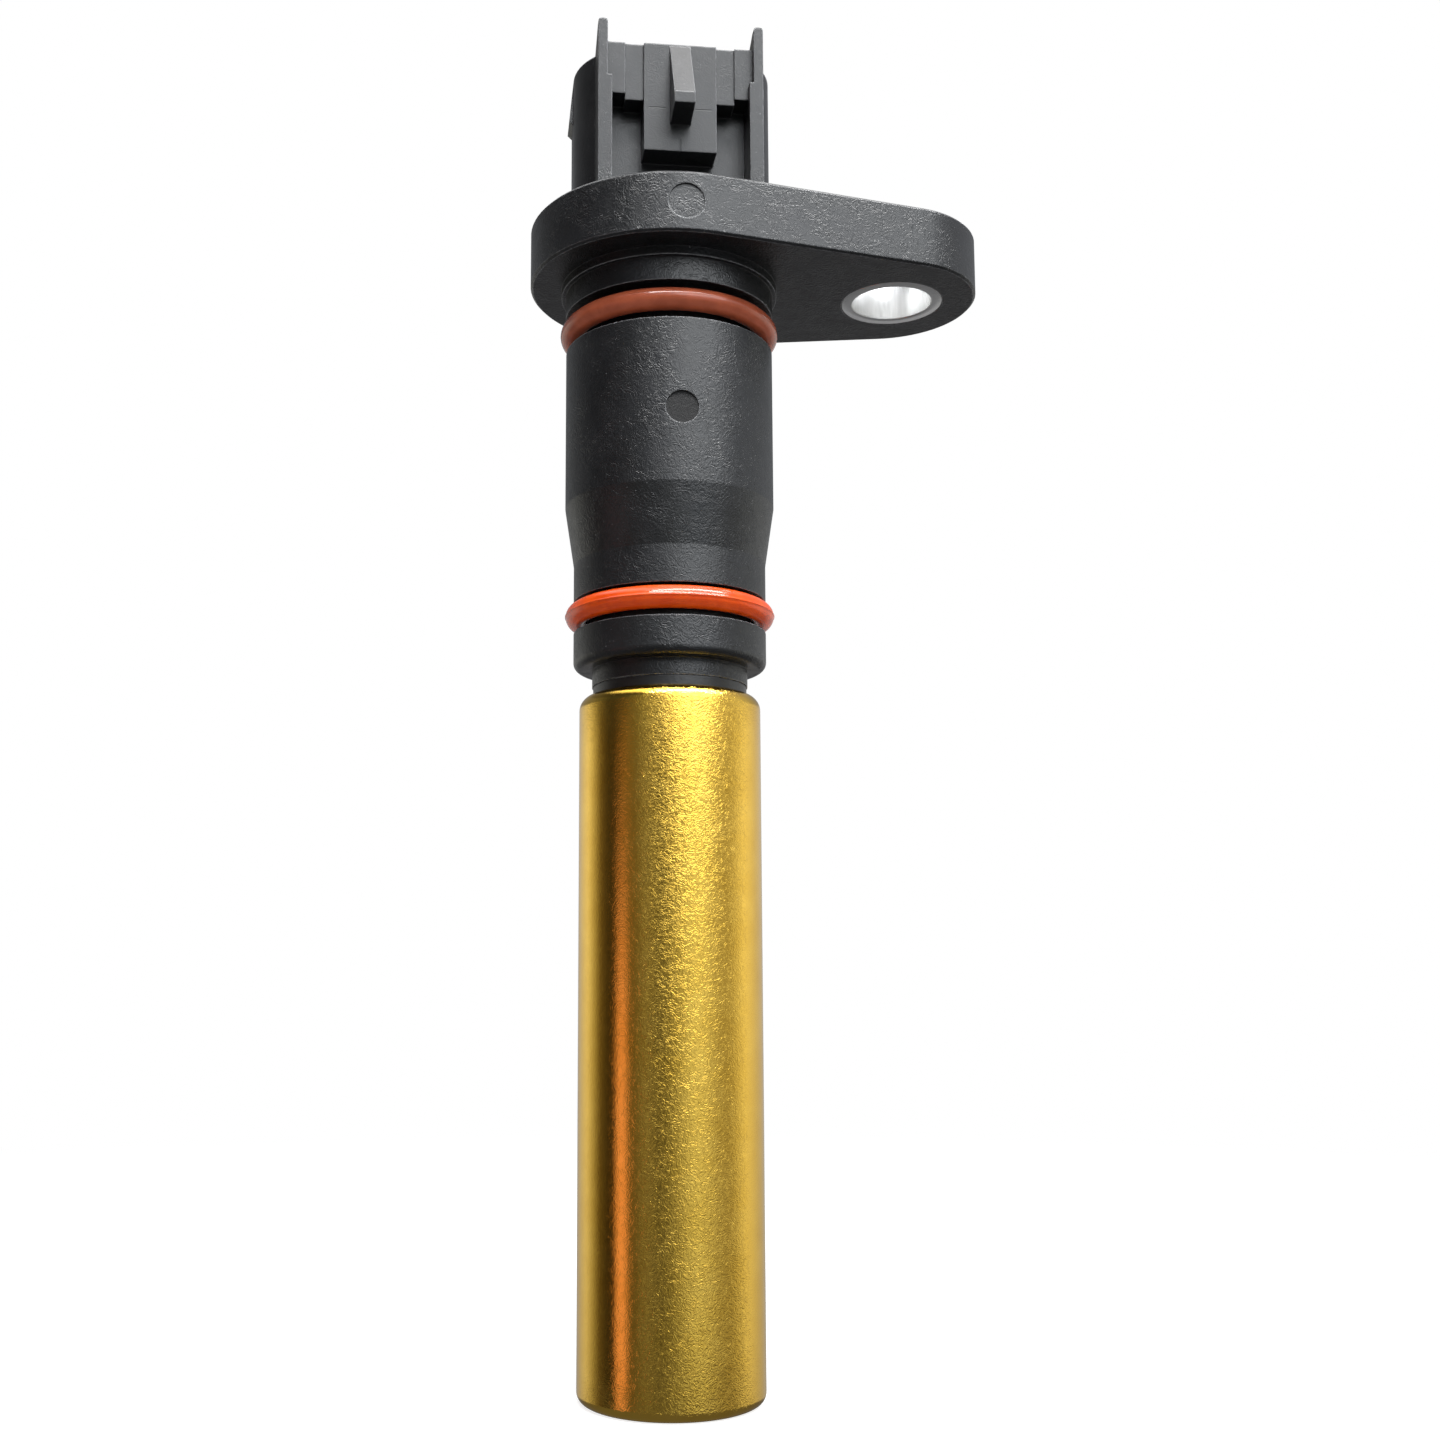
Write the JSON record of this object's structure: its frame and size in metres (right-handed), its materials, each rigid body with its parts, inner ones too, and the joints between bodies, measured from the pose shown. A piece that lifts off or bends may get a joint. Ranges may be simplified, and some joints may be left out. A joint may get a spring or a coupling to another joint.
{
  "type": "crankshaft position sensor",
  "caption": "Long plug-in crankshaft position sensor with a bolt ear, sealed barrel, brass-sleeved probe and a latching connector socket.",
  "frame": {"origin": "on the probe's axis, in the plane of the flange's underside that seats on the engine block", "axes": "+Z along the probe's axis towards the connector's mouth, -Z towards the sensing tip, +X towards the bolt ear, -Y out of the connector's latch side"},
  "size_m": [0.0476, 0.0292, 0.1369],
  "materials": {
    "housing": "glass-filled moulding, matte with fine flow texture",
    "carrier": "satin moulding",
    "comb": "satin moulding",
    "bushing": "bright zinc plate",
    "upper_ring": "satin brick red",
    "lower_ring": "satin orange",
    "sleeve": "drawn brass with a fine dimpled grain",
    "terminal": "tin-plated bronze",
    "board": "solder mask on glass laminate",
    "component": "ceramic",
    "chip": "moulding compound",
    "magnet": "sintered",
    "flux_plate": "soft iron",
    "seal": "black nitrile"
  },
  "bodies": {
    "root": {"housing": "housing", "flange_bushing": "bushing", "upper_o_ring": "upper_ring", "lower_o_ring": "lower_ring", "sleeve": "sleeve", "element_carrier": "carrier", "tray_cover": "carrier", "sleeve_seal": "seal", "terminal_comb": "comb", "terminal_supply": "terminal", "terminal_ground": "terminal", "terminal_signal": "terminal", "lead_supply": "terminal", "lead_ground": "terminal", "lead_signal": "terminal", "circuit_board": "board", "supply_capacitor": "component", "signal_capacitor": "component", "load_resistor": "chip", "tip_pad": "seal", "hall_chip": "chip", "chip_legs": "terminal", "flux_plate": "flux_plate", "bias_magnet": "magnet"}
  },
  "joints": []
}
